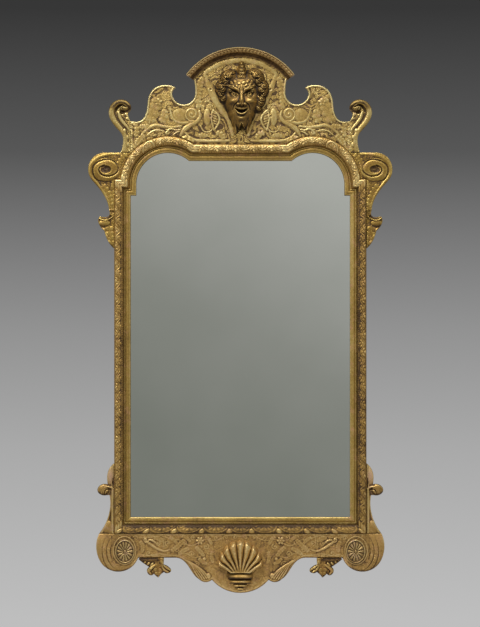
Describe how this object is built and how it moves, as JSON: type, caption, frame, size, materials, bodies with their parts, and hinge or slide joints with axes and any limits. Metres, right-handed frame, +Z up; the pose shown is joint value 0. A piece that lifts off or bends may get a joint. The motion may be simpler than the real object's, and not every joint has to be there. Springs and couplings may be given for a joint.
{
  "type": "gilt mirror",
  "caption": "Tall wall mirror in a carved and gilded wood frame with a double-arched plate, fretted crest with mask and cornice, scrolled ears, shell apron and iron hanging rings.",
  "frame": {"origin": "centre of the backboards' rear face, on the wall plane, level with the middle of the visible plate", "axes": "+X to the viewer's right across the mirror, +Y out of the back into the wall, +Z up"},
  "size_m": [0.761, 0.087, 1.3625],
  "materials": {
    "gilt_gesso": "water gilding on carved gesso over pine, rubbed and toned",
    "bare_pine": "bare pine, darkened with age",
    "mirror_glass": "clear polished plate, silvered behind",
    "tin_silvering": "dull tin amalgam",
    "iron": "dark wrought iron"
  },
  "bodies": {
    "frame": {"apron_board": "gilt_gesso", "apron_leaf_left": "gilt_gesso", "apron_leaf_right": "gilt_gesso", "backboard_centre": "bare_pine", "backboard_left": "bare_pine", "backboard_nails": "iron", "backboard_right": "bare_pine", "base_bracket_left": "gilt_gesso", "base_bracket_right": "gilt_gesso", "batten_screws": "iron", "boss_left": "gilt_gesso", "boss_right": "gilt_gesso", "bottom_rail": "bare_pine", "carved_arch_left": "gilt_gesso", "carved_arch_right": "gilt_gesso", "carved_bottom": "gilt_gesso", "carved_middle": "gilt_gesso", "carved_return_left": "gilt_gesso", "carved_return_right": "gilt_gesso", "carved_stile_left": "gilt_gesso", "carved_stile_right": "gilt_gesso", "cornice": "gilt_gesso", "crest_batten_left": "bare_pine", "crest_batten_right": "bare_pine", "crest_board": "gilt_gesso", "crest_scroll_left": "gilt_gesso", "crest_scroll_right": "gilt_gesso", "ear_block_left": "bare_pine", "ear_block_right": "bare_pine", "ear_leaf_left": "gilt_gesso", "ear_leaf_right": "gilt_gesso", "ear_left": "gilt_gesso", "ear_right": "gilt_gesso", "hanger_screws": "iron", "hanger_strap_left": "iron", "hanger_strap_right": "iron", "head_rail": "bare_pine", "mask": "gilt_gesso", "mirror_plate": "mirror_glass", "ornament_screws": "iron", "plate_blocks": "bare_pine", "shell": "gilt_gesso", "sight_arch_left": "gilt_gesso", "sight_arch_right": "gilt_gesso", "sight_bottom": "gilt_gesso", "sight_middle": "gilt_gesso", "sight_return_left": "gilt_gesso", "sight_return_right": "gilt_gesso", "sight_stile_left": "gilt_gesso", "sight_stile_right": "gilt_gesso", "silvering": "tin_silvering", "stile_left": "bare_pine", "stile_right": "bare_pine"},
    "ring_left": {"hanger_ring_left": "iron"},
    "ring_right": {"hanger_ring_right": "iron"}
  },
  "joints": [
    {"name": "ring_left_swing", "type": "hinge", "parent": "frame", "child": "ring_left", "pos_m": [-0.3025, -0.0044, 0.28], "axis": [1, 0, 0], "range_deg": [0, 180]},
    {"name": "ring_right_swing", "type": "hinge", "parent": "frame", "child": "ring_right", "pos_m": [0.3025, -0.0044, 0.28], "axis": [1, 0, 0], "range_deg": [0, 180]}
  ]
}
